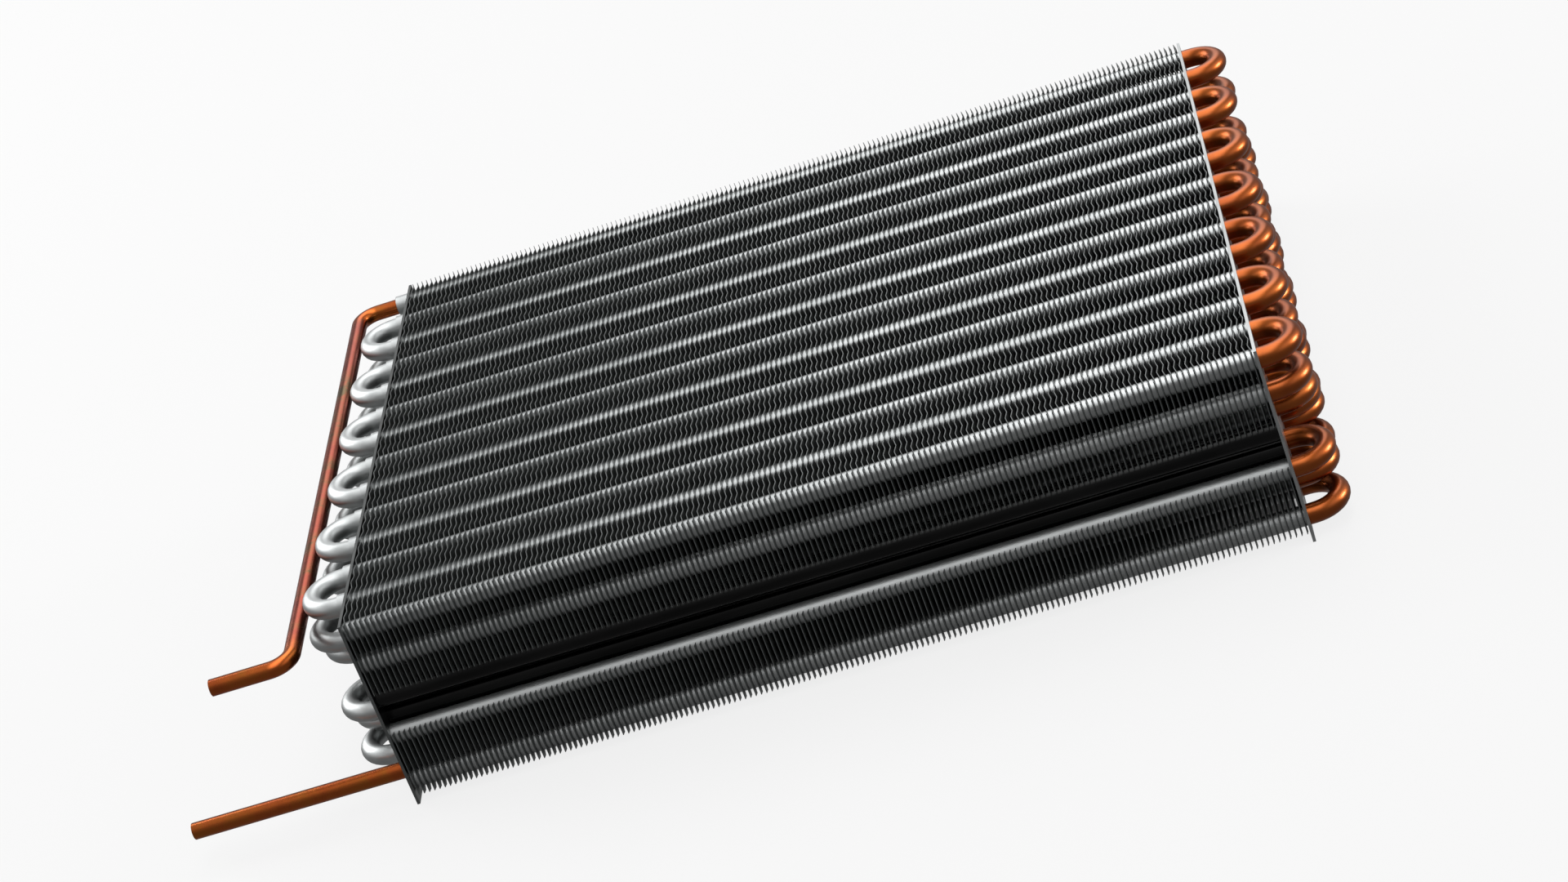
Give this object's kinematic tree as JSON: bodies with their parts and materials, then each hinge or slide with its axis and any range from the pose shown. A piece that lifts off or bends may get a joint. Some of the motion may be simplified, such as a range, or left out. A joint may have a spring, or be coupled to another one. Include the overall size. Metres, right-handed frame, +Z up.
{
  "type": "evaporator coil",
  "caption": "Fin-and-tube evaporator coil: two stacked fin packs on rows of tubes, copper hairpins at one end, silver return bends and inlet and outlet pipes at the other.",
  "frame": {"origin": "middle of the whole outline's footprint, at the level of the end plates' lower edges, which the coil stands on", "axes": "X along the tubes from the pipe end to the hairpin end, Y from the front face to the back face, Z up"},
  "size_m": [0.5206, 0.343, 0.093],
  "materials": {
    "fin": "thin rolled sheet, dark grey",
    "plate": "mill finish sheet",
    "tube": "drawn tube, smooth",
    "silver": "smooth silver-grey tube",
    "rod": "black sheathed rod",
    "copper": "smooth drawn copper",
    "pipe_copper": "drawn copper with a light tarnish"
  },
  "bodies": {
    "root": {"end_plate_left": "plate", "end_plate_right": "plate", "upper_fins": "fin", "lower_fins": "fin", "tubes_row_a": "tube", "tubes_row_b": "tube", "tubes_row_c": "tube", "tubes_row_e": "tube", "tubes_row_f": "tube", "tubes_row_g": "tube", "top_hairpin_1": "copper", "top_hairpin_2": "copper", "top_hairpin_3": "copper", "top_hairpin_4": "copper", "top_hairpin_5": "copper", "top_hairpin_6": "copper", "top_hairpin_7": "copper", "hairpins_row_b": "copper", "hairpins_row_c": "copper", "hairpins_row_e": "copper", "hairpins_row_f": "copper", "hairpins_row_g": "copper", "top_return_1": "silver", "top_return_2": "silver", "top_return_3": "silver", "top_return_4": "silver", "top_return_5": "silver", "top_return_6": "silver", "returns_row_b": "silver", "returns_row_c": "silver", "returns_row_e": "silver", "returns_row_f": "silver", "returns_row_g": "silver", "upper_rod": "rod", "lower_rod": "rod", "suction_pipe": "pipe_copper", "suction_collar": "silver", "liquid_pipe": "pipe_copper"}
  },
  "joints": []
}
